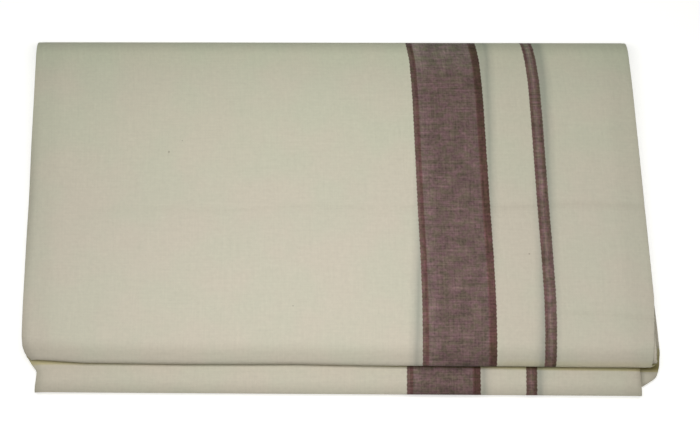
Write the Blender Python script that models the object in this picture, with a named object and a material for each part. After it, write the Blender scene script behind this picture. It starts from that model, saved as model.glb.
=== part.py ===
"""A dhoti folded into a flat packet.

One long cotton cloth is folded in three across its width, which makes a band about 0.42 m wide, and
that band is then halved four times along its length, which makes sixteen layers of 1.4 mm. A layer
here is the band of three plies. Layer 1 is the top one and layer 16 lies on the table.

The last halving leaves one thick fold at the far side (+Y), which every layer goes round. At the near
side (-Y) the upper eight layers end in one soft roll, layers 9 to 12 end in a second, lower roll that
reaches further out, and layers 13 to 16 end just behind it. Lengths are in metres.
"""

import math
from collections import namedtuple

import bmesh
import bpy
from mathutils import Vector

# Layers of the stack
LAYERS = 16
CLOTH = 0.0011
GAP = 0.0003
PITCH = CLOTH + GAP
HALF = CLOTH / 2
RIM = CLOTH * 0.3
CLEAR = HALF + GAP

# Plan, before the packet leans
HALF_WIDTH = 0.2114
FAR_Y = 0.1317
ROLL_NEAR_Y = -0.1049
FLAP_NEAR_Y = -0.1230
UNDER_NEAR_Y = -0.1150
UNDER_END_Y = -0.1135
SPINE_REACH = 0.0130
ROLL_REACH = 0.0100
FLAP_REACH = 0.0040
UNDER_REACH = 0.0028
CREASE_REACH = 0.0019
FRONT_STEP = 0.0003
CORNER_POWER = 2.2

# How far a hand-folded packet is out of square
LEAN = -0.0277
ROLL_SKEW = -0.0137
FLAP_SKEW = -0.0060

# How much lower the edges settle than the middle, as shares of the height
SIDE_SETTLE = 0.09
NEAR_SETTLE = 0.07
FAR_SETTLE = 0.05
SETTLE_WIDTH = 0.022
SWELL = 0.012

# Layered side edges of the hidden layers
HIDDEN_LAYERS = 6
LOBE_STEPS = 3
LOBE_BULGE = 0.0011
HIDDEN_INSET = 0.0014
EDGE_WAVE = 0.0006
LOBE_FADE = 0.006

COTTON = (0.60, 0.575, 0.47, 1.0)

Side = namedtuple("Side", "near far turn_y turn corner_length corner_depth")

# Side edges of each group of layers, left and right: where the edge is at the near end and at the far
# end, the place and the length over which it turns from one to the other, and its rounded near corner
SIDES = {
    ("upper", -1): Side(-0.2117, -0.2113, ROLL_NEAR_Y, 0.230, 0.0175, 0.0066),
    ("upper", 1): Side(0.2112, 0.2110, ROLL_NEAR_Y, 0.230, 0.0130, 0.0026),
    ("flap", -1): Side(-0.2027, -0.2113, -0.1065, 0.014, 0.0160, -0.0016),
    ("flap", 1): Side(0.1993, 0.2110, -0.1060, 0.090, 0.0030, 0.0006),
    ("under", -1): Side(-0.2010, -0.2113, -0.1080, 0.060, 0.0100, 0.0060),
    ("under", 1): Side(0.2146, 0.2110, -0.1000, 0.180, 0.0150, 0.0120),
}
NEAR_Y = {"upper": ROLL_NEAR_Y, "flap": FLAP_NEAR_Y, "under": UNDER_NEAR_Y}

# Sideways offset of each hidden layer's edge, from the innermost layer to the outermost
HIDDEN_EDGE = (
    # left, right
    (0.0004, -0.0009),
    (-0.0008, 0.0005),
    (0.0007, -0.0003),
    (-0.0003, 0.0008),
    (0.0009, -0.0006),
    (-0.0005, 0.0004),
)

# Columns of the stack between its side edges, as shares of its width, and stations along it in Y.
# All the pieces share them, so that their faces stay parallel where the stack settles.
COLUMNS = (0.012, 0.028, 0.055, 0.14, 0.27, 0.42, 0.58, 0.73, 0.86, 0.945, 0.972, 0.988)
STATIONS = (-0.108, -0.100, -0.093, -0.083, -0.072, -0.060, -0.020, 0.030, 0.080, 0.095, 0.107)


def layer_height(number):
    """Height of the middle of a layer, counted from 1 at the top."""
    return HALF + PITCH * (LAYERS - number)


TOP_Z = layer_height(1)
RETURN_Z = layer_height(8)
FLAP_Z = layer_height(9)
HOOK_Z = layer_height(12)
BOTTOM_Z = layer_height(16)
SPINE_Y = FAR_Y - HALF - SPINE_REACH
ROLL_Y = ROLL_NEAR_Y + HALF + ROLL_REACH
FLAP_Y = FLAP_NEAR_Y + HALF + FLAP_REACH
UNDER_Y = UNDER_NEAR_Y + UNDER_REACH
HEIGHT = TOP_Z + HALF


def smooth(value):
    """A soft step from 0 to 1."""
    value = min(1.0, max(0.0, value))
    return value * value * (3 - 2 * value)


def mix(a, b, share):
    return a + (b - a) * share


def group_edge(group, side, y):
    """Side edge of a group of layers at y: side is -1 for the left and 1 for the right."""
    row = SIDES[group, side]
    edge = mix(row.near, row.far, smooth((y - row.turn_y) / row.turn))
    past = min(1.0, max(0.0, (NEAR_Y[group] + row.corner_length - y) / row.corner_length))
    return edge - side * row.corner_depth * past ** CORNER_POWER


def side_edge(side, y, z):
    """Side edge of the packet at y and height z: each group of layers has its own."""
    under, flap, upper = (group_edge(group, side, y) for group in ("under", "flap", "upper"))
    lower = mix(under, flap, smooth((z - 0.0049) / 0.0008))
    return mix(lower, upper, smooth((z - 0.0109) / 0.0008))


def settled(x, y, z):
    """Where a point of the neat stack lies once the packet has settled and leant."""
    side = smooth((abs(x) - HALF_WIDTH + SETTLE_WIDTH) / SETTLE_WIDTH)
    near = smooth((-y + ROLL_NEAR_Y + 2 * SETTLE_WIDTH) / (2 * SETTLE_WIDTH))
    far = smooth((y - FAR_Y + 2 * SETTLE_WIDTH) / (2 * SETTLE_WIDTH))
    height = 1 - SIDE_SETTLE * side - NEAR_SETTLE * near - FAR_SETTLE * far
    height += SWELL * (math.sin(17 * x + 9 * y + 0.6) + math.sin(31 * y - 11 * x + 1.9)) / 2
    toward_near = (FAR_Y - y) / (FAR_Y - ROLL_NEAR_Y)
    skew = mix(FLAP_SKEW, ROLL_SKEW, smooth((z - 0.0109) / 0.0008))
    return Vector((x + LEAN * y, y + skew * x * toward_near, z * height))


def half_ellipse(y, z, reach, rise, start, end, steps):
    """Points of an arc about (y, z), with angles in degrees from the far side, over the top."""
    angles = [math.radians(mix(start, end, i / steps)) for i in range(steps + 1)]
    return [(y + reach * math.cos(a), z + rise * math.sin(a)) for a in angles]


def run(start_y, end_y, z):
    """A flat stretch of path at one height, with a point at each station on the way."""
    between = [y for y in STATIONS if min(start_y, end_y) < y < max(start_y, end_y)]
    if end_y < start_y:
        between.reverse()
    return [(y, z) for y in [start_y, *between, end_y]]


def joined(*pieces):
    """One path from several, each of which starts where the last one ends."""
    path = list(pieces[0])
    for piece in pieces[1:]:
        path += piece[1:]
    return path


def normals(path):
    """Unit normals of a path in the YZ plane, to the left of its direction of travel."""
    found = []
    for i in range(len(path)):
        before, after = path[max(0, i - 1)], path[min(len(path) - 1, i + 1)]
        along = Vector((after[0] - before[0], after[1] - before[1])).normalized()
        found.append((-along.y, along.x))
    return found


def wall_ring(y, z, normal):
    """A closed ring round a wall of cloth at one place on its path: left rim, top, right rim, underside."""
    left, right = side_edge(-1, y, z), side_edge(1, y, z)
    up, across = Vector(normal) * HALF, [mix(left, right, share) for share in COLUMNS]
    left_rim = [(left + RIM, -1), (left, 0), (left + RIM, 1)]
    right_rim = [(right - RIM, 1), (right, 0), (right - RIM, -1)]
    top = [(x, 1) for x in across]
    underside = [(x, -1) for x in reversed(across)]
    ring = [*left_rim, *top, *right_rim, *underside]
    return [settled(x, y + face * up.x, z + face * up.y) for x, face in ring]


def wall(name, path):
    """A wall of cloth that follows a path in the YZ plane across the whole packet."""
    rings = [wall_ring(y, z, normal) for (y, z), normal in zip(path, normals(path))]
    return solid(name, rings, 3)


def lobe(side, across, place, length):
    """How far the edge of the hidden layers stands out at a share of the way across them."""
    fade = smooth(min(place, length - place) / LOBE_FADE)
    position = across * HIDDEN_LAYERS
    number = min(HIDDEN_LAYERS - 1, int(position))
    bulge = math.sin(math.pi * (position - number)) ** 0.7 if position < HIDDEN_LAYERS else 0.0
    offset = HIDDEN_EDGE[number][0 if side < 0 else 1]
    wave = EDGE_WAVE * math.sin(38 * place + 2.3 * number + side)
    return fade * bulge * (LOBE_BULGE + offset * side + wave)


def hidden_ring(inner, outer, place, length):
    """A closed ring round the hidden layers: scalloped at both sides, one lobe for each layer."""
    steps = HIDDEN_LAYERS * LOBE_STEPS
    ring = []
    for side in (-1, 1):
        for i in range(steps + 1):
            across = i / steps if side < 0 else 1 - i / steps
            y, z = mix(inner[0], outer[0], across), mix(inner[1], outer[1], across)
            x = side_edge(side, y, z) - side * HIDDEN_INSET
            ring.append(settled(x + side * lobe(side, across, place, length), y, z))
        y, z = outer if side < 0 else inner
        left, right = side_edge(-1, y, z), side_edge(1, y, z)
        for share in COLUMNS if side < 0 else COLUMNS[::-1]:
            ring.append(settled(mix(left, right, share), y, z))
    return ring


def cap(mesh, row, rim):
    """Closes the end of a solid with faces across its thickness: rim is the points in each side edge."""
    columns, middle = len(COLUMNS), rim // 2
    left, top = row[:rim], row[rim:rim + columns]
    right, underside = row[rim + columns:2 * rim + columns], row[2 * rim + columns:][::-1]
    for i in range(columns - 1):
        mesh.faces.new((top[i], top[i + 1], underside[i + 1], underside[i]))
    for side, first, last in ((left, underside[0], top[0]), (right, top[-1], underside[-1])):
        for i in range(rim - 1):
            mesh.faces.new((side[i], side[i + 1], first if i < middle else last))
        mesh.faces.new((side[middle], last, first))


def solid(name, rings, rim):
    """One closed body from rings with the same number of points, capped at both ends."""
    mesh = bmesh.new()
    rows = [[mesh.verts.new(point) for point in ring] for ring in rings]
    count = len(rows[0])
    for row, after in zip(rows, rows[1:]):
        for i in range(count):
            j = (i + 1) % count
            mesh.faces.new((row[i], row[j], after[j], after[i]))
    cap(mesh, rows[0], rim)
    cap(mesh, rows[-1], rim)
    bmesh.ops.triangulate(mesh, faces=mesh.faces)
    bmesh.ops.recalc_face_normals(mesh, faces=mesh.faces)
    data = bpy.data.meshes.new(name)
    mesh.to_mesh(data)
    mesh.free()
    data.shade_smooth()
    data.set_sharp_from_angle(angle=math.radians(50))
    data.materials.append(cotton(name))
    piece = bpy.data.objects.new(name, data)
    bpy.context.scene.collection.objects.link(piece)
    return piece


def cotton(name):
    material = bpy.data.materials.new(name + "_cotton")
    material.use_nodes = True
    shader = material.node_tree.nodes["Principled BSDF"]
    shader.inputs["Base Color"].default_value = COTTON
    shader.inputs["Roughness"].default_value = 0.9
    shader.inputs["Metallic"].default_value = 0.0
    return material


def outer_layer_path():
    """Layer 8, the upper roll, layer 1 over the top, the thick far fold, and layer 16 underneath."""
    roll_z, spine_z = (TOP_Z + RETURN_Z) / 2, (TOP_Z + BOTTOM_Z) / 2
    return joined(
        run(SPINE_Y - GAP, ROLL_Y, RETURN_Z),
        half_ellipse(ROLL_Y, roll_z, ROLL_REACH, TOP_Z - roll_z, 270, 90, 10),
        run(ROLL_Y, SPINE_Y, TOP_Z),
        half_ellipse(SPINE_Y, spine_z, SPINE_REACH, TOP_Z - spine_z, 90, -90, 12),
        run(SPINE_Y, UNDER_END_Y, BOTTOM_Z),
    )


def lower_flap_path():
    """Layer 9, which shows in front of the upper roll, and the lower roll with the hook under it."""
    roll_z = (FLAP_Z + HOOK_Z) / 2
    return joined(
        run(SPINE_Y - GAP, FLAP_Y, FLAP_Z),
        half_ellipse(FLAP_Y, roll_z, FLAP_REACH, FLAP_Z - roll_z, 90, 270, 8),
        run(FLAP_Y, UNDER_NEAR_Y - GAP, HOOK_Z),
    )


def hidden_layers_paths():
    """Inner and outer bounds of the hidden layers, from the tip in the upper roll to the lower one."""
    roll_z, spine_z = (TOP_Z + RETURN_Z) / 2, (TOP_Z + BOTTOM_Z) / 2
    flap_z = (FLAP_Z + HOOK_Z) / 2
    top, bottom = TOP_Z - CLEAR, BOTTOM_Z + CLEAR
    above_return, below_flap, above_hook = RETURN_Z + CLEAR, FLAP_Z - CLEAR, HOOK_Z + CLEAR
    under_z = (bottom + above_hook) / 2
    front_y = UNDER_Y - UNDER_REACH
    outer = joined(
        half_ellipse(ROLL_Y, roll_z, ROLL_REACH - CLEAR, top - roll_z, 168, 90, 5),
        run(ROLL_Y, SPINE_Y, top),
        half_ellipse(SPINE_Y, spine_z, SPINE_REACH - CLEAR, top - spine_z, 90, -90, 10),
        run(SPINE_Y, UNDER_Y, bottom),
        half_ellipse(UNDER_Y, under_z, UNDER_REACH, under_z - bottom, 270, 180, 4),
        [(front_y, under_z), (front_y - FRONT_STEP / 2, above_hook), (FLAP_Y, above_hook)],
        half_ellipse(FLAP_Y, flap_z, FLAP_REACH - CLEAR, flap_z - above_hook, 270, 200, 3),
    )
    inner = joined(
        half_ellipse(ROLL_Y, roll_z, ROLL_REACH - CLEAR, roll_z - above_return, 192, 270, 5),
        run(ROLL_Y, SPINE_Y, above_return),
        half_ellipse(SPINE_Y, spine_z, CREASE_REACH, above_return - spine_z, 90, -90, 10),
        run(SPINE_Y, UNDER_Y, below_flap),
        [(mix(UNDER_Y, front_y, i / 4), below_flap) for i in range(5)],
        [(front_y, below_flap), (front_y - FRONT_STEP, below_flap), (FLAP_Y, below_flap)],
        half_ellipse(FLAP_Y, flap_z, FLAP_REACH - CLEAR, below_flap - flap_z, 90, 160, 3),
    )
    return inner, outer


def hidden_layers(name):
    """The layers between the outer ones, as one solid that goes round the far fold with them."""
    inner, outer = hidden_layers_paths()
    places = [0.0]
    for before, after in zip(inner, inner[1:]):
        places.append(places[-1] + math.dist(before, after))
    rings = [hidden_ring(*row, places[-1]) for row in zip(inner, outer, places)]
    return solid(name, rings, HIDDEN_LAYERS * LOBE_STEPS + 1)


def centre_on_origin(pieces):
    """Moves the whole packet so that the origin is the bottom centre of its box."""
    corners = [vertex.co for piece in pieces for vertex in piece.data.vertices]
    low = Vector([min(corner[i] for corner in corners) for i in range(3)])
    high = Vector([max(corner[i] for corner in corners) for i in range(3)])
    shift = Vector(((low.x + high.x) / 2, (low.y + high.y) / 2, low.z))
    for piece in pieces:
        for vertex in piece.data.vertices:
            vertex.co -= shift


def main():
    for old in list(bpy.data.objects):
        bpy.data.objects.remove(old)
    centre_on_origin([
        wall("outer_layer", outer_layer_path()),
        wall("lower_flap", lower_flap_path()),
        hidden_layers("hidden_layers"),
    ])


main()
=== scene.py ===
"""A cotton dhoti folded into a flat packet, on a pale floor under soft studio light.

The cloth lies in sixteen layers of three plies. Each piece here is the part of that one long cloth
that shows somewhere: the outer face that goes round the packet, the flap under the upper roll, the
fold under the flap, the cut ends, and the folded and free edges of every layer at the two sides.
All sizes are in metres. Map coordinates on the cloth are in metres too, so the weave and the woven
stripes keep their real scale and follow the folds.
"""

import math
from collections import namedtuple

import bpy
import numpy as np
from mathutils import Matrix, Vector


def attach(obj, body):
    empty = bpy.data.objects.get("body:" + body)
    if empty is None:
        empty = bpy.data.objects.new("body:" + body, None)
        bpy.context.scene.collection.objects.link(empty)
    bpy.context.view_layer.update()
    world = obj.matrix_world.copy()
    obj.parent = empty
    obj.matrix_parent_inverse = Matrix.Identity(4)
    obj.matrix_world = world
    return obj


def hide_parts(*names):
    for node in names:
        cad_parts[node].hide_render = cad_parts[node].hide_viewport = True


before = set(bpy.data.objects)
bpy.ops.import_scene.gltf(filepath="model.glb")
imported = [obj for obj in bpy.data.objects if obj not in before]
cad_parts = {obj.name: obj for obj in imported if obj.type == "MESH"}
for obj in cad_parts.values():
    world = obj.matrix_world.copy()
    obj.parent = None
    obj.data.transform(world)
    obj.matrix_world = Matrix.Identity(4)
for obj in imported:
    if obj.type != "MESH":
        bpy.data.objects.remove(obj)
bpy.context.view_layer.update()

Station = namedtuple("Station", "y z normal_y normal_z length")
Yarns = namedtuple("Yarns", "weft warp grain slubs threads")

# Layers of the stack
LAYERS = 16
PITCH = 0.0014
HALF = 0.00055
PLY = 0.00031
PLY_STEP = 0.00036
HEM_DEPTH = 0.014

# The cloth's ends: flat size, how far in from the side edges, and the heights of the waves in the cut
END_DEPTH = 0.030
END_INSET = 0.0012
END_WAVE, END_RIPPLE = 0.0005, 0.0003
# The plies that end free, left and right: lift from the layer's middle, and how far in from the fold
FREE_EDGES = {-1: (-PLY_STEP, 0.0006), 1: (0.0, 0.0012)}
FREE_WANDER = 0.6
# How far in the edges of the hidden layers lie, and the waves along them: share, pitch and phase
EDGE_INSET, EDGE_WANDER = 0.0011, 0.00055
EDGE_WAVES = ((1.0, 9.0, 1.0), (0.6, 31, 1.7), (0.25, 97, 0.0))
LAYER_PHASE = 2.1

# Heights in the neat stack where the flap's layers and the upper ones begin
FLAP_BOTTOM = 0.0049
UPPER_BOTTOM = 0.0109
GROUP_BLEND = 0.0008

# Plan of the packet before it leans, as in the part's source
PLAN_CENTRE = Vector((0.001177, 0.003709, 0.0))
HALF_WIDTH = 0.2114
FAR_Y = 0.1317
ROLL_NEAR_Y = -0.1049
FLAP_NEAR_Y = -0.1230
UNDER_NEAR_Y = -0.1160
CLOTH_END_Y = -0.1135
SPINE_REACH = 0.0130
ROLL_REACH = 0.0100
FLAP_REACH = 0.0040
UNDER_REACH = 0.0016
CREASE_REACH = 0.0010
LEAN = -0.0277
ROLL_SKEW = -0.0137
FLAP_SKEW = -0.0060
SIDE_SETTLE = 0.09
NEAR_SETTLE = 0.07
FAR_SETTLE = 0.05
SETTLE_WIDTH = 0.022
# The soft swell of the whole packet, as a share of its height, and its waves: pitch in x and in y, phase
SWELL = 0.012
SWELL_WAVES = ((17, 9, 0.6), (-11, 31, 1.9))

# Where the flap's cloth starts under the flap, and how far in it is shown with short steps
HOOK_START_Y = -0.085
FLAP_SHOWN_Y = -0.075
# Ends of the hidden stretches, and where they meet the cloth under the flap
HIDDEN_START_Y = -0.1090
HIDDEN_END_Y = -0.0845
JOINT_Y = -0.0600
JOINT_GAP = 0.0001
JOINT_FADE = 0.030
JOINT_LOW_Z, JOINT_HIGH_Z = 0.0025, 0.0055

# Side edges of the upper layers, the flap's and the lowest ones, left and right: place in y, place in x
SIDES = {
    ("upper", -1): (
        (-0.1049, -0.2052), (-0.1030, -0.2078), (-0.1008, -0.2096), (-0.0965, -0.2111), (-0.0895, -0.2117),
        (-0.0600, -0.2114), (-0.0200, -0.2116), (0.0500, -0.2115), (0.0900, -0.2110), (0.1317, -0.2112),
    ),
    ("upper", 1): (
        (-0.1049, 0.2107), (-0.1010, 0.2110), (-0.0900, 0.2112), (0.0950, 0.2111), (0.1317, 0.2107),
    ),
    ("flap", -1): (
        (-0.1230, -0.2038), (-0.1160, -0.2032), (-0.1089, -0.2027), (-0.1043, -0.2063), (-0.1000, -0.2090),
        (-0.0940, -0.2108), (-0.0700, -0.2113), (0.1317, -0.2113),
    ),
    ("flap", 1): (
        (-0.1230, 0.1993), (-0.1060, 0.1994), (-0.0850, 0.2015), (-0.0500, 0.2075), (-0.0160, 0.2110),
        (0.1317, 0.2110),
    ),
    ("under", -1): (
        (-0.1160, -0.1950), (-0.1120, -0.1995), (-0.1070, -0.2025), (-0.1000, -0.2070), (-0.0900, -0.2100),
        (-0.0480, -0.2113), (0.1317, -0.2113),
    ),
    ("under", 1): (
        (-0.1160, 0.2010), (-0.1134, 0.2052), (-0.1105, 0.2103), (-0.1077, 0.2118), (-0.1048, 0.2128),
        (-0.1019, 0.2137), (-0.0962, 0.2144), (-0.0933, 0.2150), (-0.0762, 0.2149), (-0.0476, 0.2142),
        (0.0800, 0.2110), (0.1317, 0.2110),
    ),
}
# How far the top ply's right edge has slipped in over the open end of the upper roll: place in y, slip
TOP_SLIP = ((-0.1050, 0.0050), (-0.0985, 0.0038), (-0.0760, 0.0015), (-0.0580, 0.0))
TOP_SLIP_Z = (0.0125, 0.004)

# How the side edges of the top droop: place in y, share of the height that is lost at the edge
EDGE_DROOP = {
    -1: (
        (-0.105, 0.140), (-0.088, 0.070), (-0.060, 0.035), (-0.020, 0.095), (0.010, 0.150), (0.050, 0.090),
        (0.090, 0.030), (0.125, 0.015),
    ),
    1: ((-0.105, 0.026), (-0.080, 0.024), (-0.060, 0.012), (-0.030, 0.010), (0.090, 0.020), (0.125, 0.020)),
}
DROOP_WIDTH = {-1: 0.0068, 1: 0.0036}
MOST_DROOP = 1.15

# How far the layers beneath puff up where the top ply has slipped in: height, least x, and the soft
# steps past the top ply's edge and in height, each as a start and a width
PUFF = 0.0009
PUFF_X = 0.2
PUFF_PAST_EDGE = (0.0, 0.0018)
PUFF_Z = (0.0160, 0.0040)

# How far the lower half of the upper roll has sagged forward: place in x, sag in y, then its soft steps
ROLL_SAG = ((-0.200, 0.0013), (-0.140, 0.0016), (-0.060, 0.0020), (0.010, 0.0018), (0.060, 0.0006), (0.200, 0.0))
ROLL_SAG_Z = (0.0168, 0.0040)
ROLL_SAG_Y = (-0.086, 0.012)

# How the near edge of the upper roll strays from straight: place in x, stray in y, then its soft step
ROLL_STRAY = (
    (-0.205, 0.0013), (-0.188, 0.0003), (-0.170, -0.0006), (-0.100, -0.0004), (-0.030, 0.0007), (0.035, 0.0001),
    (0.075, 0.0001), (0.115, 0.0006), (0.155, 0.0006), (0.183, 0.0008), (0.200, 0.0010), (0.209, 0.0015),
)
ROLL_STRAY_Y = (-0.060, 0.040)

# How far the far fold is drawn in: at the middle, for each metre to the right, less at the side edges
FAR_PULL, FAR_PULL_SLOPE, FAR_PULL_SIDE = 0.0007, 0.0017, 0.0006
FAR_PULL_Y = (0.090, 0.040)

# Pressed lines and soft dents on the top: start x, y, end x, y, height, half width
CREASES = (
    (0.085, 0.0048, 0.235, 0.0068, -0.00042, 0.0024),
    (-0.190, -0.0005, 0.090, 0.0048, -0.00016, 0.0024),
    (0.130, -0.0690, 0.235, -0.0735, -0.00030, 0.0022),
    (-0.150, 0.0900, -0.060, 0.0300, 0.00022, 0.0160),
    (-0.190, -0.0700, -0.090, -0.0450, -0.00020, 0.0140),
    (-0.020, -0.0850, 0.070, -0.0550, 0.00020, 0.0130),
    (0.120, 0.0850, 0.190, 0.0500, -0.00024, 0.0150),
    (-0.200, 0.1050, -0.130, 0.0800, -0.00030, 0.0120),
)
PRESSED_LINES = CREASES[:3]
# The same on the underside, which lifts off the floor there
UNDER_CREASES = (
    (-0.235, -0.0020, 0.060, 0.0030, 0.00034, 0.0034),
    (0.040, 0.0040, 0.235, -0.0010, 0.00022, 0.0040),
    (-0.130, 0.0760, 0.150, 0.0830, 0.00026, 0.0042),
    (-0.060, -0.0900, 0.120, -0.0400, 0.00020, 0.0110),
    (-0.190, 0.0600, -0.100, 0.0150, 0.00022, 0.0130),
)
CREASE_FADE = 0.03
CREASE_WANDER = 0.0012
CREASE_PITCH, CREASE_PHASE = 55, 40

# How far the stripes stray from straight along the cloth: place in y, stray of the wide stripe in x,
# and of the narrow one
STRIPE_STRAY = (
    (-0.105, 0.0013, 0.0030), (-0.083, 0.0005, 0.0013), (-0.060, -0.0001, 0.0003), (-0.030, -0.0003, 0.0001),
    (0.000, 0.0001, 0.0003), (0.045, 0.0002, 0.0003), (0.067, 0.0003, 0.0002), (0.082, 0.0003, 0.0003),
    (0.097, 0.0007, 0.0005), (0.113, 0.0013, 0.0015), (0.124, 0.0028, 0.0029), (0.135, 0.0038, 0.0041),
)
FLAP_STRAY = ((-0.1230, 0.0121, 0.0170), (-0.1050, 0.0114, 0.0156))
UNDER_STRAY = ((-0.1160, 0.0060, 0.0060), (-0.0600, 0.0060, 0.0060))
# Between the two stripes the stray changes from one to the other by a power, and a little past the narrow one
STRAY_POWER = 2.5
STRAY_END = 1.2
STRIPE_X = 0.0556
BAND_WIDTH = 0.0497
NARROW_START = 0.0820
NARROW_WIDTH = 0.0082

# Where the stripes of the ply beneath lie against those of the top ply: place in y, shift of the wide
# stripe in x, and of the narrow one. On the flap and under it, one shift for both.
PLY_BENEATH = (
    (-0.110, -0.0058, -0.0026), (-0.066, -0.0041, -0.0016), (-0.045, -0.0030, -0.0010), (-0.022, -0.0008, 0.0),
    (0.000, 0.0008, 0.0010), (0.060, 0.0042, 0.0038), (0.098, 0.0056, 0.0050), (0.124, 0.0088, 0.0066),
)
FLAP_PLY_BENEATH = 0.0037
UNDER_PLY_BENEATH = 0.0030

# Darkening, as shares, and along pressed lines for each metre of depth: darker side edges, wear, painted shade
# along the near folds, the pressed lines and the lower layers' rim, and painted shadow in the gap under the upper
# roll.
# A name that ends in _X, _Y, _Z or _IN is the start and width of a soft step.
EDGE_DARKENING = {-1: 0.38, 1: 0.10}
EDGE_DARKENING_IN = (0.0, 0.0055)
EDGE_DARKENING_FADE, EDGE_DARKENING_FADE_Y = 0.9, (0.030, 0.050)
PRESSED_SHADE = 500
ROLL_EDGE_SHADE, ROLL_EDGE_SHADE_Y, ROLL_EDGE_SHADE_Z = 0.60, (0.0045, 0.0105), (0.0125, 0.0025)
RIGHT_WORN, RIGHT_WORN_X = 0.18, (0.102, 0.004)
RIGHT_CLEAN, RIGHT_CLEAN_X = 0.6, (0.140, 0.030)
FLAP_WORN = 0.20
FLAP_FOLD_SHADE, FLAP_FOLD_Y = 0.50, (0.0010, 0.0085)
FLAP_END_WORN, FLAP_END_X = 0.16, (0.1875, 0.0012)
UNDER_WORN = 0.04
RIM_SHADE, RIM_LESS_GAP_SHADE, RIM_IN, RIM_Y = 0.8, 0.5, (0.0004, 0.0024), (-0.085, 0.006)
# How dark the painted shadow in the gap under the upper roll is along the packet: place in x, share
GAP_SHADE_ALONG = (
    (-0.205, 0.22), (-0.190, 0.17), (-0.150, 0.10), (-0.100, 0.06), (-0.030, 0.03), (0.020, 0.08), (0.100, 0.42),
    (0.170, 0.46), (0.186, 0.60), (0.197, 0.85),
)
# Soft steps and shares of the painted shadow in the gap under the upper roll, on the flap and on the fold under it,
# and of the painted shade along the upper roll's near fold
ROLL_GAP_SHADE_Z, ROLL_GAP_SHADE_Y = (0.0158, 0.0022), (-0.088, 0.008)
FOLD_SHADE, FOLD_SHADE_X, FOLD_SHADE_Y = 0.06, (0.085, 0.030), (0.0010, 0.0045)
CORNER_INSIDE, CORNER_GAP_SHADE, CORNER_Y = 0.004, 0.4, (-0.1030, 0.0030)
GAP_SLANT, GAP_SLANT_X = 0.0014, (-0.12, 0.30)
FLAP_GAP_Y, FLAP_GAP_SHADE_Y = (0.0002, 0.0012), (-0.098, 0.010)
UNDER_GAP_Y, UNDER_GAP_SHADE_Y = (-0.0022, 0.0014), (-0.100, 0.006)
UNDER_GAP_SHADE, UNDER_GAP_SHADE_X = 0.8, (0.196, 0.006)


def smooth(value):
    """A soft step from 0 to 1."""
    value = min(1.0, max(0.0, value))
    return value * value * (3 - 2 * value)


def rising(value, start, width):
    """A soft step from 0 at the start to 1 a width further up."""
    return smooth((value - start) / width)


def falling(value, start, width):
    """A soft step from 0 at the start to 1 a width further down."""
    return smooth((start - value) / width)


def mix(a, b, share):
    return a + (b - a) * share


def from_table(table, place, column=1):
    """The value at a place, read between the rows of a table of places and values."""
    for before, after in zip(table, table[1:]):
        if place <= after[0]:
            break
    share = min(1.0, max(0.0, (place - before[0]) / (after[0] - before[0])))
    return mix(before[column], after[column], share)


def layer_height(number):
    """Height of the middle of a layer, counted from 1 at the top."""
    return HALF + PITCH * (LAYERS - number)


SPINE_Y = FAR_Y - HALF - SPINE_REACH
ROLL_Y = ROLL_NEAR_Y + HALF + ROLL_REACH
FLAP_Y = FLAP_NEAR_Y + HALF + FLAP_REACH
UNDER_Y = UNDER_NEAR_Y + HALF + UNDER_REACH
HEIGHT = layer_height(1) + HALF
SPINE_Z = (layer_height(1) + layer_height(LAYERS)) / 2


def side_edge(side, y, z):
    """Side edge of the layers at y and height z: side is -1 for the left and 1 for the right."""
    under, flap, upper = (from_table(SIDES[group, side], y) for group in ("under", "flap", "upper"))
    lower = mix(under, flap, rising(z, FLAP_BOTTOM, GROUP_BLEND))
    return mix(lower, upper, rising(z, UPPER_BOTTOM, GROUP_BLEND))


def top_edge(side, y, z):
    """Side edge of the outer layer, which on the right slips in at the top of the open upper roll."""
    slip = from_table(TOP_SLIP, y) * rising(z, *TOP_SLIP_Z) if side > 0 else 0.0
    return side_edge(side, y, z) - slip


def relief(x, y, creases):
    """Height of the soft creases at a point of the plan."""
    height = 0.0
    for x0, y0, x1, y1, rise, width in creases:
        length = math.hypot(x1 - x0, y1 - y0)
        along = ((x - x0) * (x1 - x0) + (y - y0) * (y1 - y0)) / length
        off = ((x - x0) * (y1 - y0) - (y - y0) * (x1 - x0)) / length
        off += CREASE_WANDER * math.sin(CREASE_PITCH * along + CREASE_PHASE * x0)
        fade = smooth(along / CREASE_FADE) * smooth((length - along) / CREASE_FADE)
        height += rise * fade * math.exp(-((off / width) ** 2))
    return height


def settled_height(x, y, z):
    """How high a point of the neat stack lies once the packet has settled and creased."""
    side = rising(abs(x), HALF_WIDTH - SETTLE_WIDTH, SETTLE_WIDTH)
    near = falling(y, ROLL_NEAR_Y + 2 * SETTLE_WIDTH, 2 * SETTLE_WIDTH)
    far = rising(y, FAR_Y - 2 * SETTLE_WIDTH, 2 * SETTLE_WIDTH)
    height = 1 - SIDE_SETTLE * side - NEAR_SETTLE * near - FAR_SETTLE * far
    height += SWELL * sum(math.sin(in_x * x + in_y * y + phase) for in_x, in_y, phase in SWELL_WAVES) / 2
    if side:
        hand = 1 if x > 0 else -1
        reach = 1 + hand * (x - side_edge(hand, y, z)) / DROOP_WIDTH[hand]
        height -= from_table(EDGE_DROOP[hand], y) * min(MOST_DROOP, max(0.0, reach)) ** 2
    height += relief(x, y, CREASES) / HEIGHT
    lift = relief(x, y, UNDER_CREASES) * max(0.0, 1 - z / HEIGHT)
    if x > PUFF_X:
        lift += PUFF * rising(x - top_edge(1, y, z), *PUFF_PAST_EDGE) * rising(z, *PUFF_Z)
    return z * height + lift


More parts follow.
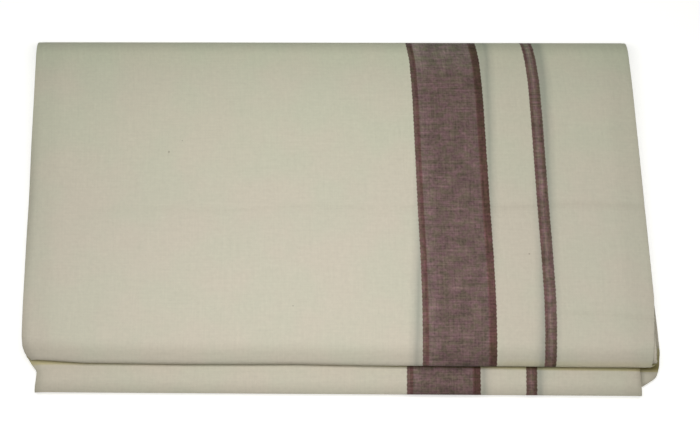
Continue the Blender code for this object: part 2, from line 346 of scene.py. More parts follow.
def settled(x, y, z):
    """Where a point of the neat stack lies once the packet has settled, creased and leant."""
    upper = rising(z, UPPER_BOTTOM, GROUP_BLEND)
    side = rising(abs(x), HALF_WIDTH - SETTLE_WIDTH, SETTLE_WIDTH)
    toward_near = (FAR_Y - y) / (FAR_Y - ROLL_NEAR_Y)
    shift = mix(FLAP_SKEW, ROLL_SKEW, upper) * x * toward_near
    shift += from_table(ROLL_STRAY, x) * upper * falling(y, *ROLL_STRAY_Y)
    shift -= from_table(ROLL_SAG, x) * upper * falling(z, *ROLL_SAG_Z) * falling(y, *ROLL_SAG_Y)
    shift -= (FAR_PULL + FAR_PULL_SLOPE * x - FAR_PULL_SIDE * side) * rising(y, *FAR_PULL_Y)
    return Vector((x + LEAN * y, y + shift, settled_height(x, y, z))) - PLAN_CENTRE


def wear(x, y, z):
    """How dark the cloth is at a point of the stack, as two shares. The first is darkening at its side edges, wear
    on the top right of the wide stripe, on the flap and on the fold under it, and painted shade along its near
    folds, along pressed lines and on the rim of the lower layers. The second is painted shadow in the gap under the
    upper roll."""
    hand = 1 if x > 0 else -1
    inside = hand * (side_edge(hand, y, z) - x)
    # Darker towards the side edges, less so towards the far side
    worn_and_shaded = EDGE_DARKENING[hand] * (1 - rising(inside, *EDGE_DARKENING_IN)) * (1 - EDGE_DARKENING_FADE * rising(y, *EDGE_DARKENING_FADE_Y))
    # Painted shade along the troughs of the pressed lines
    worn_and_shaded -= PRESSED_SHADE * min(0.0, relief(x, y, PRESSED_LINES))
    if z > UPPER_BOTTOM:
        # Painted shade on the upper roll's near rounding and the top just behind it
        worn_and_shaded += ROLL_EDGE_SHADE * (1 - rising(y - ROLL_NEAR_Y, *ROLL_EDGE_SHADE_Y)) * rising(z, *ROLL_EDGE_SHADE_Z)
        worn_and_shaded += RIGHT_WORN * rising(x, *RIGHT_WORN_X) * (1 - RIGHT_CLEAN * rising(x, *RIGHT_CLEAN_X))
        # Painted shadow in the gap under the upper roll
        gap_shade = from_table(GAP_SHADE_ALONG, x) * falling(z, *ROLL_GAP_SHADE_Z) * falling(y, *ROLL_GAP_SHADE_Y)
        # Painted shade along the upper roll's near fold, towards the right
        fold_shade = FOLD_SHADE * rising(x, *FOLD_SHADE_X) * (1 - rising(y - ROLL_NEAR_Y, *FOLD_SHADE_Y))
        gap_shade = max(gap_shade, fold_shade)
        if x > 0 and inside < CORNER_INSIDE:
            gap_shade *= mix(1.0, CORNER_GAP_SHADE, rising(y, *CORNER_Y))
    elif z > FLAP_BOTTOM:
        # Some wear on the flap, and painted shade along its near fold
        worn_and_shaded += FLAP_WORN + FLAP_FOLD_SHADE * (1 - rising(y - FLAP_NEAR_Y, *FLAP_FOLD_Y))
        worn_and_shaded += FLAP_END_WORN * rising(x, *FLAP_END_X)
        # No wear in the gap where the flap goes in under the upper roll, and painted shadow there instead
        in_gap = rising(y - ROLL_NEAR_Y + GAP_SLANT * rising(x, *GAP_SLANT_X), *FLAP_GAP_Y)
        worn_and_shaded *= 1 - in_gap
        gap_shade = from_table(GAP_SHADE_ALONG, x) * in_gap * (1 - rising(y, *FLAP_GAP_SHADE_Y))
    else:
        worn_and_shaded += UNDER_WORN
        # Painted shadow on the fold under the flap, at its right end under the upper roll
        in_gap = rising(y - ROLL_NEAR_Y, *UNDER_GAP_Y) * (1 - rising(y, *UNDER_GAP_SHADE_Y))
        gap_shade = UNDER_GAP_SHADE * rising(x, *UNDER_GAP_SHADE_X) * in_gap
    # Painted shade, grey, on the rim of the lower layers at the right under the upper roll's end, with less of the
    # olive painted shadow there
    if z < UPPER_BOTTOM and x > 0:
        rim = (1 - rising(inside, *RIM_IN)) * falling(y, *RIM_Y)
        worn_and_shaded += RIM_SHADE * rim
        gap_shade *= 1 - RIM_LESS_GAP_SHADE * rim * rising(y, *CORNER_Y)
    return min(1.0, worn_and_shaded), min(1.0, gap_shade)


def run(start_y, end_y, z, step):
    """A flat stretch of path, as points (y, z), with steps of about the given length."""
    count = max(1, round(abs(end_y - start_y) / step))
    return [(mix(start_y, end_y, i / count), z) for i in range(count + 1)]


def turn(y, z, reach, rise, start, end, steps):
    """A turn of the path about (y, z), between two angles in degrees from the far side."""
    angles = [math.radians(mix(start, end, i / steps)) for i in range(steps + 1)]
    return [(y + reach * math.cos(a), z + rise * math.sin(a)) for a in angles]


def joined(*pieces):
    path = list(pieces[0])
    for piece in pieces[1:]:
        path += piece[1:]
    return path


def along_path(path):
    """Each point of a path with its unit normal, to the left of travel, and its length so far."""
    stations = []
    length = 0.0
    for i, (y, z) in enumerate(path):
        before, after = path[max(0, i - 1)], path[min(len(path) - 1, i + 1)]
        dy, dz = after[0] - before[0], after[1] - before[1]
        size = math.hypot(dy, dz)
        if i:
            length += math.dist(path[i - 1], path[i])
        stations.append(Station(y, z, -dz / size, dy / size, length))
    return stations


def cloth_piece(name, stations, profile, place, material, stray_table=STRIPE_STRAY, ply_shift=None):
    """A sheet of one ply swept along a path. place() gives each column's x, its distance across the
    cloth, its lift from the layer's middle and how far it slides along the path."""
    rows, columns = len(stations), len(profile)
    bpy.ops.object.select_all(action="DESELECT")
    bpy.ops.mesh.primitive_grid_add(x_subdivisions=columns - 1, y_subdivisions=rows - 1, size=1)
    piece = bpy.context.object
    piece.name = piece.data.name = name
    mesh = piece.data
    grid = [(round((v.co.x + 0.5) * (columns - 1)), round((v.co.y + 0.5) * (rows - 1))) for v in mesh.vertices]
    points = np.empty((len(grid), 3))
    cloth = np.empty((len(grid), 2))
    beneath = np.empty((len(grid), 2))
    wear_and_shade_shares = np.empty((len(grid), 2))
    for k, (column, row) in enumerate(grid):
        y, z, normal_y, normal_z, length = stations[row]
        x, across, lift, slide = place(profile[column], stations[row])
        points[k] = settled(x, y + normal_y * lift + normal_z * slide, z + normal_z * lift)
        # Shares of wear and painted shade, and of the painted shadow under the upper roll
        wear_and_shade_shares[k] = wear(x, y + normal_y * lift, z + normal_z * lift)
        u = across - STRIPE_X
        share = min(STRAY_END, max(0.0, u / NARROW_START)) ** STRAY_POWER
        u += mix(from_table(stray_table, y), from_table(stray_table, y, 2), share)
        cloth[k] = u, length
        low_shift = ply_shift
        if ply_shift is None:
            low_shift = mix(from_table(PLY_BENEATH, y), from_table(PLY_BENEATH, y, 2), share)
        beneath[k] = u - low_shift, length
    mesh.vertices.foreach_set("co", points.ravel())
    corner_points = np.empty(len(mesh.loops), dtype=np.int32)
    mesh.loops.foreach_get("vertex_index", corner_points)
    while mesh.uv_layers:
        mesh.uv_layers.remove(mesh.uv_layers[0])
    for layer_name, values in (("cloth", cloth), ("ply_beneath", beneath), ("wear", wear_and_shade_shares)):
        mesh.uv_layers.new(name=layer_name).data.foreach_set("uv", values[corner_points].ravel())
    mesh.update()
    mesh.materials.append(material)
    solidify = piece.modifiers.new("ply", "SOLIDIFY")
    solidify.thickness = PLY
    solidify.offset = 0.0
    bpy.ops.object.modifier_apply(modifier=solidify.name)
    bpy.ops.object.shade_smooth_by_angle(angle=math.radians(50))
    return piece


def full_profile(columns):
    """Under the left fold, round it, across the face, round the right fold and under it. Each column is
    a part of the profile and the share of the way along it."""
    face = [("face", i / columns) for i in range(1, columns)]
    return (
        [("left_under", s) for s in (0.0, 0.4, 0.8)]
        + [("left_fold", i / 6) for i in range(7)]
        + face
        + [("right_fold", i / 8) for i in range(9)]
        + [("right_under", s) for s in (0.2, 0.6, 1.0)]
    )


def fold_place(left_x, right_x, column):
    """x, distance across the cloth, lift from the layer's middle and slide for a column of a full profile."""
    part, share = column
    small, large = PLY_STEP / 2, PLY_STEP
    if part == "left_under":
        x = mix(left_x + HEM_DEPTH, left_x + small, share)
        return x, 2 * left_x - x, 0.0, 0.0
    if part == "left_fold":
        angle = math.radians(270 - 180 * share)
        return left_x + small + small * math.cos(angle), left_x, small + small * math.sin(angle), 0.0
    if part == "right_fold":
        angle = math.radians(90 - 180 * share)
        return right_x - large + large * math.cos(angle), right_x, large * math.sin(angle), 0.0
    if part == "right_under":
        x = mix(right_x - large, right_x - HEM_DEPTH, share)
        return x, 2 * right_x - x, -PLY_STEP, 0.0
    closer_at_sides = 0.012 * math.sin(2 * math.pi * share)
    x = mix(left_x + small, right_x - large, share - closer_at_sides)
    return x, x, PLY_STEP, 0.0


def between_edges(edge_of):
    """Places a full profile between the side edges of the packet at a station."""

    def place(column, station):
        return fold_place(edge_of(-1, station.y, station.z), edge_of(1, station.y, station.z), column)

    return place


def stations_and_sheet(name, path, edge_of, columns, material, *shifts):
    """One full-width ply along a path. Gives its stations too, for the free edges that go with it."""
    stations = along_path(path)
    return stations, cloth_piece(name, stations, full_profile(columns), between_edges(edge_of), material, *shifts)


def outer_cloth(material):
    """Layer 8, the upper roll, the top, the thick far fold and the underside, as one ply."""
    top_z, back_z = layer_height(1), layer_height(8)
    roll_z = (top_z + back_z) / 2
    path = joined(
        run(SPINE_Y, ROLL_Y, back_z, step=0.012),
        turn(ROLL_Y, roll_z, ROLL_REACH, top_z - roll_z, start=270, end=90, steps=22),
        run(ROLL_Y, SPINE_Y, top_z, step=0.0022),
        turn(SPINE_Y, SPINE_Z, SPINE_REACH, top_z - SPINE_Z, start=90, end=-90, steps=24),
        run(SPINE_Y, CLOTH_END_Y, layer_height(LAYERS), step=0.0036),
    )
    return stations_and_sheet("outer_cloth", path, top_edge, 138, material)


def lower_flap_cloth(material):
    """The hook under the flap, the lower roll, and layer 9, which shows before the upper roll."""
    hook_z, face_z = layer_height(12), layer_height(9)
    roll_z = (hook_z + face_z) / 2
    path = joined(
        run(HOOK_START_Y, FLAP_Y, hook_z, step=0.004),
        turn(FLAP_Y, roll_z, FLAP_REACH, face_z - roll_z, start=270, end=90, steps=16),
        run(FLAP_Y, FLAP_SHOWN_Y, face_z, step=0.0016),
        run(FLAP_SHOWN_Y, SPINE_Y, face_z, step=0.016),
        turn(SPINE_Y, SPINE_Z, CREASE_REACH, SPINE_Z - face_z, start=-90, end=84, steps=8),
    )
    return stations_and_sheet("lower_flap_cloth", path, side_edge, 138, material, FLAP_STRAY, FLAP_PLY_BENEATH)


def under_cloth(material):
    """Layers 14 and 13, joined in the fold that lies under the flap and shows at its right."""
    low_z, high_z = layer_height(14), layer_height(13)
    path = joined(
        run(JOINT_Y - JOINT_GAP, UNDER_Y, low_z, step=0.004),
        turn(UNDER_Y, (low_z + high_z) / 2, UNDER_REACH, (high_z - low_z) / 2, start=270, end=90, steps=12),
        run(UNDER_Y, JOINT_Y - JOINT_GAP, high_z, step=0.0025),
    )
    return stations_and_sheet("under_cloth", path, side_edge, 110, material, UNDER_STRAY, UNDER_PLY_BENEATH)


def hidden_path():
    """The way of the cloth through its hidden layers: from the end in layer 15 to layer 14, and on from
    layer 13 to layer 12. The cloth under the flap lies between the two."""

    def spine(number, upward):
        rise = layer_height(number) - SPINE_Z
        reach = mix(CREASE_REACH, SPINE_REACH, (8 - number) / 7)
        start = -90 if upward else 90
        return turn(SPINE_Y, SPINE_Z, reach, rise, start, -start, steps=14)

    def near(centre_y, upper, lower, reach, upward=False):
        middle = (layer_height(upper) + layer_height(lower)) / 2
        start, end = (270, 90) if upward else (90, 270)
        return turn(centre_y, middle, reach, layer_height(upper) - middle, start, end, steps=8)

    def straight(number, start, end):
        return run(start, end, layer_height(number), step=0.0055)

    return joined(
        straight(15, HIDDEN_START_Y, SPINE_Y), spine(2, upward=True),
        straight(2, SPINE_Y, ROLL_Y), near(ROLL_Y, 2, 7, reach=0.0074),
        straight(7, ROLL_Y, SPINE_Y), spine(7, upward=False),
        straight(10, SPINE_Y, FLAP_Y), near(FLAP_Y, 10, 11, reach=0.0018),
        straight(11, FLAP_Y, SPINE_Y), spine(6, upward=True),
        straight(6, SPINE_Y, ROLL_Y), near(ROLL_Y, 3, 6, reach=0.0040, upward=True),
        straight(3, ROLL_Y, SPINE_Y), spine(3, upward=False),
        straight(14, SPINE_Y, JOINT_Y + JOINT_GAP),
    ), joined(
        straight(13, JOINT_Y + JOINT_GAP, SPINE_Y), spine(4, upward=True),
        straight(4, SPINE_Y, ROLL_Y), near(ROLL_Y, 4, 5, reach=0.0014),
        straight(5, ROLL_Y, SPINE_Y), spine(5, upward=False),
        straight(12, SPINE_Y, HIDDEN_END_Y),
    )


def edge_wander(layer_key, length):
    """How far the edge of a hidden layer lies in from the packet's edge, in three waves along it."""
    start = LAYER_PHASE * layer_key
    wave = sum(share * math.sin(pitch * length + phase * start) for share, pitch, phase in EDGE_WAVES)
    return EDGE_INSET + EDGE_WANDER * wave


def folded_edge(name, side, stations, material):
    """The folded edge of the hidden layers at one side: one long narrow strip that doubles back."""
    profile = [("in", 1.0), ("in", 0.45)] + [("fold", i / 8) for i in range(9)] + [("out", 0.45), ("out", 1.0)]
    radius = PLY_STEP if side > 0 else PLY_STEP / 2
    middle = 0.0 if side > 0 else PLY_STEP / 2

    def place(column, station):
        part, share = column
        y, z = station.y, station.z
        at_joint = 1 - smooth(abs(y - JOINT_Y) / JOINT_FADE) if JOINT_LOW_Z < z < JOINT_HIGH_Z else 0.0
        edge = side_edge(side, y, z) - side * edge_wander(round(z / PITCH), station.length) * (1 - at_joint)
        if part == "fold":
            angle = math.radians(90 - 180 * share)
            x = edge - side * radius * (1 - math.cos(angle))
            return x, edge, middle + radius * math.sin(angle), 0.0
        x = edge - side * (radius + (HEM_DEPTH - radius) * share)
        return x, x, middle + (radius if part == "in" else -radius), 0.0

    return cloth_piece(name, stations, profile, place, material)


def free_edge(name, side, stations, edge_of, material):
    """The one ply of each layer that ends free at this side, a little way in from the fold."""
    lift, inset = FREE_EDGES[side]

    def place(share, station):
        y, z = station.y, station.z
        wander = FREE_WANDER * edge_wander(3 + round(z / PITCH), 1.3 * station.length)
        x = edge_of(side, y, z) - side * (inset + wander) - side * HEM_DEPTH * share
        return x, x, lift, 0.0

    return cloth_piece(name, stations, [0.0, 0.3, 1.0], place, material)


def cloth_end(name, number, lift, end_y, material):
    """The end of the cloth in one layer and ply, cut straight and left a little uneven."""
    start_y = end_y + END_DEPTH
    stations = along_path(run(start_y, end_y, layer_height(number), step=0.003))
    profile = [i / 90 for i in range(91)]

    def place(share, station):
        y, z = station.y, station.z
        left_x, right_x = side_edge(-1, y, z) + END_INSET, side_edge(1, y, z) - END_INSET
        x = mix(left_x, right_x, share)
        wave = END_WAVE * math.sin(23 * x + 900 * lift) + END_RIPPLE * math.sin(71 * x + number)
        return x, x, lift, wave * falling(y, start_y, END_DEPTH)

    return cloth_piece(name, stations, profile, place, material)


class Weaver:
    """Short calls for the nodes of one material."""

    def __init__(self, name):
        self.material = bpy.data.materials.new(name)
        self.material.use_nodes = True
        self.tree = self.material.node_tree
        self.tree.nodes.clear()

    def put(self, socket, value):
        if isinstance(value, bpy.types.NodeSocket):
            self.tree.links.new(value, socket)
        else:
            socket.default_value = value

    def node(self, kind, inputs=None, **settings):
        node = self.tree.nodes.new(kind)
        for name, value in settings.items():
            setattr(node, name, value)
        for name, value in (inputs or {}).items():
            self.put(node.inputs[name], value)
        return node

    def calc(self, operation, first, second=0.0, third=0.0):
        inputs = {0: first, 1: second, 2: third}
        return self.node("ShaderNodeMath", inputs, operation=operation).outputs[0]

    def total(self, base, *terms):
        """A base and, added to it, each value times its factor."""
        for value, factor in terms:
            base = self.calc("MULTIPLY_ADD", value, factor, base)
        return base

    def step(self, value, low, high):
        """A soft step of a value between two limits, from 0 to 1."""
        inputs = {"Value": value, "From Min": low, "From Max": high}
        return self.node("ShaderNodeMapRange", inputs, interpolation_type="SMOOTHSTEP").outputs[0]

    def between(self, value, low, high, blur):
        """1 where a value lies between two limits, with blurred edges."""
        last = self.step(value, high - blur, high + blur)
        return self.calc("SUBTRACT", self.step(value, low - blur, low + blur), last)

    def noise(self, x, y, scale, detail=2.0, rough=0.5):
        vector = self.node("ShaderNodeCombineXYZ", {"X": x, "Y": y}).outputs[0]
        inputs = {"Vector": vector, "Scale": scale, "Detail": detail, "Roughness": rough}
        return self.node("ShaderNodeTexNoise", inputs).outputs["Fac"]

    def blend(self, share, first, second, kind="MIX"):
        node = self.node("ShaderNodeMix", data_type="RGBA", blend_type=kind)
        self.put(node.inputs[0], share)
        self.put(node.inputs[6], first)
        self.put(node.inputs[7], second)
        return node.outputs[2]

    def tinted(self, colour, share, tint):
        """A colour multiplied by a tint, as far as the share says."""
        return self.blend(share, colour, tint, "MULTIPLY")

    def bands(self, value, width, stops):
        """Colours across a stripe, from places in metres."""
        ramp = self.node("ShaderNodeValToRGB", {"Fac": self.calc("DIVIDE", value, width)})
        elements = ramp.color_ramp.elements
        while len(elements) > 1:
            elements.remove(elements[-1])
        elements[0].position, elements[0].color = stops[0][0] / width, (*stops[0][1], 1)
        for place, colour in stops[1:]:
            elements.new(place / width).color = (*colour, 1)
        return ramp.outputs["Color"]


# Colours of the cloth
CREAM = (0.609, 0.561, 0.475, 1)
CREAM_COOL = (0.586, 0.567, 0.471, 1)
SLUB_CREAM = (0.70, 0.67, 0.57, 1)
DARK_BROWN = (0.100, 0.055, 0.045)
WARM_BROWN = (0.160, 0.098, 0.086)
MAROON = (0.140, 0.074, 0.069)
DULL_BROWN = (0.130, 0.089, 0.073)
TAUPE = (0.155, 0.106, 0.098)
PALE_TAUPE = (0.190, 0.134, 0.124)
ROSE_TAUPE = (0.230, 0.158, 0.138)
# Tints, which multiply a colour
NO_CHANGE = (1.0, 1.0, 1.0, 1)
CLEAR_PLY = (1.0, 1.0, 1.0)
SHADE_OF_EDGE = (0.66, 0.69, 0.71)
SHADE_OF_HALO = (0.875, 0.885, 0.895)
SHADE_OF_BAND = (0.76, 0.785, 0.80)
GREEN_DOTS = (0.88, 0.99, 0.84, 1)
PINK_DOTS = (1.12, 0.99, 1.14, 1)
WORN_AND_SHADED_TINT = (0.760, 0.752, 0.735, 1)
# Painted shadow under the upper roll: yellow at its edge, olive in its depth
YELLOW_SHADE = (0.980, 0.955, 0.720, 1)
OLIVE_SHADE = (0.430, 0.385, 0.190, 1)
SPECK = (0.60, 0.57, 0.56, 1)
FAR_CREAM = (0.952, 1.000, 0.958, 1)
FAR_HALF = (1.029, 1.060, 1.030, 1)
FAR_STRIPE = (1.230, 1.500, 1.370, 1)
FAR_BORDER = (0.810, 0.900, 0.830, 1)
NEAR_BORDER = (1.200, 1.200, 1.300, 1)
FLAP_NARROW = (0.840, 0.800, 0.780, 1)
# Where on the packet the tints start and are full, as places in y
FAR_HALF_AT = (-0.022, 0.075)
FAR_EDGE_AT = (0.090, 0.124)
FAR_BORDER_AT = (0.055, 0.085)
NEAR_BORDER_AT = (0.000, -0.050)
NEAR_BORDER_ENDS_AT = (-0.095, -0.075)
FLAP_AT = (-0.102, -0.107)
# Colours across the stripes: place in metres from the stripe's left edge, colour
BAND_COLOURS = (
    (0.0000, WARM_BROWN), (0.0018, WARM_BROWN), (0.0024, MAROON), (0.0038, MAROON), (0.0046, PALE_TAUPE),
    (0.0132, TAUPE), (0.0437, TAUPE), (0.0446, MAROON), (0.0455, DARK_BROWN), (0.0497, DARK_BROWN),
)
NARROW_COLOURS = (
    (0.0000, WARM_BROWN), (0.0016, WARM_BROWN), (0.0028, PALE_TAUPE), (0.0038, ROSE_TAUPE),
    (0.0048, PALE_TAUPE), (0.0058, WARM_BROWN), (0.0066, DULL_BROWN), (0.0082, DULL_BROWN),
)
BAND_MIDDLE = (0.0042, 0.0441)
NARROW_MIDDLE = (0.0022, 0.0060)
LEFT_BORDER_ENDS = (0.0016, 0.0030)
MIDDLE_BLUR = 0.0004
STRIPE_BLUR = 0.0003
# The stripes of the ply beneath: softness of their edges, halo beside them and width of their borders
BENEATH_SOFT, BENEATH_HALO, BENEATH_BORDER = 0.0014, 0.0034, 0.0052
# Woven edges of the stripes: length and depth of a tooth, and how much of it each edge has
TOOTH = 0.0028
TOOTH_DEPTH = 0.0004
TOOTH_MEAN = 0.75
LEFT_TEETH = 1.4
RIGHT_TEETH = 1.5
# Width of a thread in the bump of the weave
THREAD = 0.00042
# Small thick knots in the yarn: place, and half size along and across
SPECKS = (
    (-0.1174, 0.0397, 0.0215, 0.0011, 0.0007), (-0.1085, 0.0480, 0.0215, 0.0006, 0.0005),
    (0.1290, -0.0340, 0.0215, 0.0006, 0.0006), (-0.0300, -0.0700, 0.0215, 0.0005, 0.0007),
    (0.0900, 0.0500, 0.0, 0.0009, 0.0007), (-0.1300, -0.0300, 0.0, 0.0010, 0.0006),
    (0.0100, -0.0600, 0.0, 0.0007, 0.0005),
)
SPECK_DEPTH = 0.004


def uv_map(weaver, name):
    node = weaver.node("ShaderNodeUVMap", uv_map=name)
    split = weaver.node("ShaderNodeSeparateXYZ", {0: node.outputs[0]})
    return split.outputs[0], split.outputs[1]


def spun_yarns(weaver, across, along):
    """Threads both ways, the fine grain where they cross, and thicker picks now and then."""
    weft = weaver.noise(weaver.calc("MULTIPLY", across, 0.06), along, scale=900)
    warp = weaver.noise(across, weaver.calc("MULTIPLY", along, 0.05), scale=950)
    grain = weaver.noise(across, along, scale=560)
    slubs = weaver.noise(weaver.calc("MULTIPLY", across, 0.045), along, scale=430)
    threads = weaver.total(0.0, (weft, 1 / 3), (warp, 1 / 3), (grain, 1 / 3))
    return Yarns(weft, warp, grain, slubs, threads)


def pale_ground(weaver, across, along, place, depth, yarns):
    """The pale ground, in soft warm and cool patches, with its knots."""
    patches = weaver.noise(across, along, scale=24, detail=3.0)
    soft = weaver.noise(across, along, scale=330)
    ground = weaver.blend(weaver.step(patches, 0.34, 0.66), CREAM, CREAM_COOL)
    ground = weaver.tinted(ground, 1.0, weaver.total(0.815, (yarns.threads, 0.26), (soft, 0.11)))
    thick = weaver.calc("MULTIPLY", weaver.step(yarns.slubs, 0.60, 0.80), 0.10)
    ground = weaver.blend(thick, ground, SLUB_CREAM)
    ground = weaver.tinted(ground, weaver.step(depth, *FAR_HALF_AT), FAR_HALF)
    ground = weaver.tinted(ground, weaver.step(depth, *FAR_EDGE_AT), FAR_CREAM)
    for x, y, z, half_length, half_width in SPECKS:
        away = weaver.node("ShaderNodeVectorMath", {0: place, 1: (x, y, z)}, operation="SUBTRACT").outputs[0]
        size = (half_width, half_length, SPECK_DEPTH)
        away = weaver.node("ShaderNodeVectorMath", {0: away, 1: size}, operation="DIVIDE").outputs[0]
        reach = weaver.node("ShaderNodeVectorMath", {0: away}, operation="LENGTH").outputs["Value"]
        outside = weaver.step(weaver.calc("ADD", reach, yarns.grain), 0.7, 1.7)
        ground = weaver.tinted(ground, weaver.calc("SUBTRACT", 1.0, outside), SPECK)
    return ground


def ply_shadows(weaver, ground, across):
    """The ground as dulled by the stripes of the ply beneath, which show through softly."""
    soft, halo, border = BENEATH_SOFT, BENEATH_HALO, BENEATH_BORDER
    for start, width, middle in ((0.0, BAND_WIDTH, SHADE_OF_BAND), (NARROW_START, NARROW_WIDTH, SHADE_OF_EDGE)):
        span = width + 2 * soft + 2 * halo
        border_end = min(border + halo, 0.48 * span)
        shade = weaver.bands(weaver.calc("SUBTRACT", across, start - soft - halo), span, (
            (0.0, CLEAR_PLY), (halo, SHADE_OF_HALO), (halo + 2 * soft, SHADE_OF_EDGE), (border_end, middle),
            (span - border_end, middle), (span - halo - 2 * soft, SHADE_OF_EDGE), (span - halo, SHADE_OF_HALO),
            (span, CLEAR_PLY),
        ))
        ground = weaver.tinted(ground, 1.0, shade)
    return ground


def stripe_masks(weaver, across, along):
    """Where the wide and the narrow stripe are, with their toothed woven edges."""
    phase = weaver.calc("PINGPONG", weaver.calc("FRACT", weaver.calc("DIVIDE", along, TOOTH)), 0.5)
    uneven = weaver.noise(across, along, scale=330)
    tooth = weaver.calc("MULTIPLY", weaver.calc("ADD", phase, uneven), TOOTH_DEPTH)
    masks = []
    for start, width in ((0.0, BAND_WIDTH), (NARROW_START, NARROW_WIDTH)):
        inner = weaver.calc("SUBTRACT", across, start)
        left_edge = -LEFT_TEETH * TOOTH_MEAN * TOOTH_DEPTH
        right_edge = width + TOOTH_MEAN * TOOTH_DEPTH
        left_at, right_at = weaver.total(inner, (tooth, -LEFT_TEETH)), weaver.total(inner, (tooth, RIGHT_TEETH))
        left = weaver.step(left_at, left_edge - STRIPE_BLUR, left_edge + STRIPE_BLUR)
        right = weaver.step(right_at, right_edge - STRIPE_BLUR, right_edge + STRIPE_BLUR)
        masks.append((weaver.calc("SUBTRACT", left, right), inner))
    return masks


def stripe_tint(weaver, across, along, worn_and_shaded, yarns):
    """The play of light and dark threads in the stripes, in soft blotches of green and pink."""
    dots = weaver.noise(weaver.calc("MULTIPLY", across, 0.7), along, scale=230, detail=4.0, rough=0.65)
    blotches = weaver.noise(across, along, scale=95, detail=3.0)
    thick, thin = weaver.step(yarns.slubs, 0.60, 0.72), weaver.step(yarns.slubs, 0.40, 0.28)
    contrast = weaver.total(
        -0.35, (yarns.weft, 1.0), (yarns.warp, 0.7), (yarns.grain, 1.0), (thick, 0.14), (thin, -0.14)
    )
    contrast = weaver.calc("MULTIPLY", contrast, weaver.total(0.525, (blotches, 0.95)))
    # Less contrast where the cloth is worn and where shade is painted
    contrast = weaver.calc("MULTIPLY", contrast, weaver.total(1.0, (worn_and_shaded, -0.14)))
    tint = weaver.blend(weaver.step(dots, 0.36, 0.64), GREEN_DOTS, PINK_DOTS)
    return weaver.tinted(tint, 1.0, contrast)


def woven_stripes(weaver, ground, masks, depth, tint):
    """The wide and the narrow stripe over the ground, with brown and maroon borders."""
    far, on_flap = weaver.step(depth, *FAR_EDGE_AT), weaver.step(depth, *FLAP_AT)
    border_far = weaver.step(depth, *FAR_BORDER_AT)
    border_near = weaver.calc(
        "MULTIPLY", weaver.step(depth, *NEAR_BORDER_AT), weaver.step(depth, *NEAR_BORDER_ENDS_AT)
    )
    colour = ground
    for (mask, at), width, colours, (middle_from, middle_to), far_border, flap_tint in (
        (masks[0], BAND_WIDTH, BAND_COLOURS, BAND_MIDDLE, FAR_BORDER, NO_CHANGE),
        (masks[1], NARROW_WIDTH, NARROW_COLOURS, NARROW_MIDDLE, NO_CHANGE, FLAP_NARROW),
    ):
        middle = weaver.between(at, middle_from, middle_to, MIDDLE_BLUR)
        border = weaver.calc("SUBTRACT", 1.0, middle)
        right = weaver.step(at, middle_to - MIDDLE_BLUR, middle_to + MIDDLE_BLUR)
        past_left_border = weaver.step(at, *LEFT_BORDER_ENDS)
        stripe = weaver.tinted(weaver.bands(at, width, colours), 1.0, tint)
        for where, part, change in (
            (far, middle, FAR_STRIPE),
            (border_far, border, far_border),
            (border_near, right, NEAR_BORDER),
            (on_flap, past_left_border, flap_tint),
        ):
            stripe = weaver.tinted(stripe, weaver.calc("MULTIPLY", where, part), change)
        colour = weaver.blend(mask, colour, stripe)
    return colour


def weave_bump(weaver, across, along, yarns):
    """The normal of the cloth, roughened by its weave."""
    wave_across = weaver.calc("SINE", weaver.calc("MULTIPLY", across, math.pi / THREAD))
    wave_along = weaver.calc("SINE", weaver.calc("MULTIPLY", along, math.pi / THREAD))
    weave = weaver.calc("MULTIPLY", wave_across, wave_along)
    height = weaver.total(0.0, (weave, 0.35), (yarns.threads, 1.6), (yarns.slubs, 0.6))
    bump = weaver.node("ShaderNodeBump", {"Height": height, "Strength": 0.35, "Distance": 0.00012})
    return bump.outputs[0]


def striped_cotton(name):
    """Fine handwoven cotton, cream with mauve-brown stripes, that lets the ply beneath show faintly.
    It is worn in places, has painted shade along its folds and pressed lines, and painted shadow under the roll,
    yellowed at its edge and olive in its depth."""
    weaver = Weaver(name)
    across, along = uv_map(weaver, "cloth")
    worn_and_shaded, gap_shade = uv_map(weaver, "wear")
    place = weaver.node("ShaderNodeTexCoord").outputs["Object"]
    depth = weaver.node("ShaderNodeSeparateXYZ", {0: place}).outputs[1]

    yarns = spun_yarns(weaver, across, along)
    ground = pale_ground(weaver, across, along, place, depth, yarns)
    ground = ply_shadows(weaver, ground, uv_map(weaver, "ply_beneath")[0])
    tint = stripe_tint(weaver, across, along, worn_and_shaded, yarns)
    colour = woven_stripes(weaver, ground, stripe_masks(weaver, across, along), depth, tint)
    # Wear and painted shade, in grey
    colour = weaver.tinted(colour, worn_and_shaded, WORN_AND_SHADED_TINT)
    # Painted shadow under the upper roll, yellowed at its edge and olive in its depth
    colour = weaver.tinted(colour, weaver.step(gap_shade, 0.0, 0.14), YELLOW_SHADE)
    colour = weaver.tinted(colour, gap_shade, OLIVE_SHADE)

    surface = weaver.node("ShaderNodeBsdfPrincipled", {
        "Base Color": colour, "Normal": weave_bump(weaver, across, along, yarns),
        "Roughness": 0.92, "Specular IOR Level": 0.18, "Sheen Weight": 0.10,
        "Sheen Roughness": 0.45, "Sheen Tint": (0.95, 0.92, 0.84, 1),
    })
    weaver.node("ShaderNodeOutputMaterial", {"Surface": surface.outputs[0]})
    return weaver.material


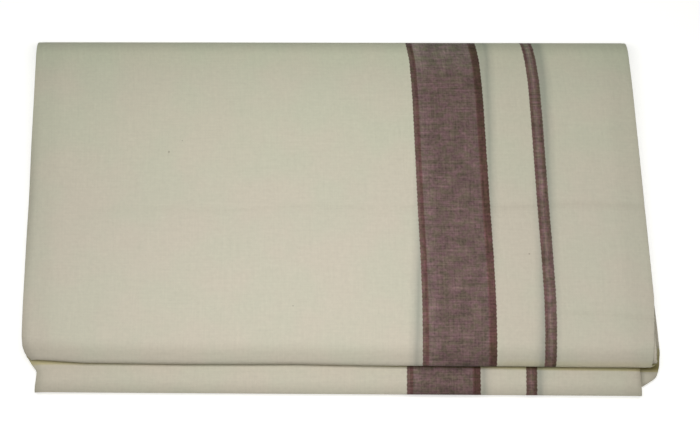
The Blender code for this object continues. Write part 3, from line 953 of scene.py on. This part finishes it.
# The floor, the light and the camera
FLOOR_SIZE = 6
FLOOR_DROP = 0.0002
FLOOR_PAINT = {
    "Base Color": (0.80, 0.80, 0.80, 1), "Roughness": 0.8, "Emission Color": (1, 1, 1, 1), "Emission Strength": 0.56,
}
SKY_COLOUR = (0.97, 1.0, 0.92, 1)
SKY_STRENGTH = 0.20
LAMP_COLOUR = (1.0, 0.985, 0.955)
LAMP_SIZE = (0.50, 0.20)
LAMP_POWER = 1.9
LAMP_AT = Vector((-0.010, -0.090, 0.450))
LAMP_AIM = Vector((-0.010, -0.060, 0.0))
CAMERA_AT = (0.0080, -0.28065, 0.86729)
CAMERA_TILT = 18
CAMERA_SENSOR = 36.0
CAMERA_LENS = 67.06


def pale_floor():
    bpy.ops.mesh.primitive_plane_add(size=FLOOR_SIZE, location=(0, 0, -FLOOR_DROP))
    floor = bpy.context.object
    floor.name = "floor"
    paint = Weaver("pale_floor")
    surface = paint.node("ShaderNodeBsdfPrincipled", FLOOR_PAINT)
    paint.node("ShaderNodeOutputMaterial", {"Surface": surface.outputs[0]})
    floor.data.materials.append(paint.material)


def soft_light():
    """One soft lamp above the near side and an even pale sky."""
    scene = bpy.context.scene
    scene.world = bpy.data.worlds.new("studio")
    scene.world.use_nodes = True
    sky = scene.world.node_tree.nodes["Background"]
    sky.inputs["Color"].default_value = SKY_COLOUR
    sky.inputs["Strength"].default_value = SKY_STRENGTH

    lamp = bpy.data.lights.new("soft_lamp", "AREA")
    lamp.shape, lamp.size, lamp.size_y = "RECTANGLE", *LAMP_SIZE
    lamp.energy = LAMP_POWER
    lamp.color = LAMP_COLOUR
    holder = bpy.data.objects.new("soft_lamp", lamp)
    scene.collection.objects.link(holder)
    holder.location = LAMP_AT
    holder.rotation_euler = (LAMP_AIM - LAMP_AT).to_track_quat("-Z", "Y").to_euler()
    holder.visible_camera = False
    scene.view_settings.view_transform = "Standard"
    scene.view_settings.look = "None"


def photo_camera():
    """The camera of the photograph: well above the near side, looking down at 72 degrees."""
    camera = bpy.data.cameras.new("camera")
    camera.sensor_fit, camera.sensor_width, camera.lens = "HORIZONTAL", CAMERA_SENSOR, CAMERA_LENS
    holder = bpy.data.objects.new("camera", camera)
    bpy.context.scene.collection.objects.link(holder)
    holder.location = CAMERA_AT
    holder.rotation_euler = (math.radians(CAMERA_TILT), 0, 0)
    bpy.context.scene.camera = holder


def lay(piece, node):
    """Puts a piece of the cloth under the root and hides the solid it stands for."""
    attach(piece, "root")
    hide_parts(node)


photo_camera()
pale_floor()
soft_light()
cotton = striped_cotton("striped_cotton")

outer_stations, outer = outer_cloth(cotton)
flap_stations, flap = lower_flap_cloth(cotton)
under_stations, under = under_cloth(cotton)
lay(outer, "outer_layer")
lay(flap, "lower_flap")
lay(under, "hidden_layers")

first_stations, last_stations = [along_path(path) for path in hidden_path()]
for side, side_name in ((-1, "left"), (1, "right")):
    for number, stations in ((1, first_stations), (2, last_stations)):
        piece = folded_edge(f"folded_edge_{side_name}_{number}", side, stations, cotton)
        lay(piece, "hidden_layers")
    for route, stations, edge_of in (
        ("outer", outer_stations, top_edge),
        ("flap", flap_stations, side_edge),
        ("under", under_stations, side_edge),
        ("first", first_stations, side_edge),
        ("last", last_stations, side_edge),
    ):
        piece = free_edge(f"free_edge_{side_name}_{route}", side, stations, edge_of, cotton)
        lay(piece, "hidden_layers")

for name, number, lift, end_y in (
    ("cloth_end_16_36", 16, 0.0, -0.1131),
    ("cloth_end_16_0", 16, -PLY_STEP, -0.1138),
    ("cloth_end_15_72", 15, PLY_STEP, -0.1122),
    ("cloth_end_15_36", 15, 0.0, -0.1117),
    ("cloth_end_15_0", 15, -PLY_STEP, -0.1126),
):
    lay(cloth_end(name, number, lift, end_y, cotton), "hidden_layers")
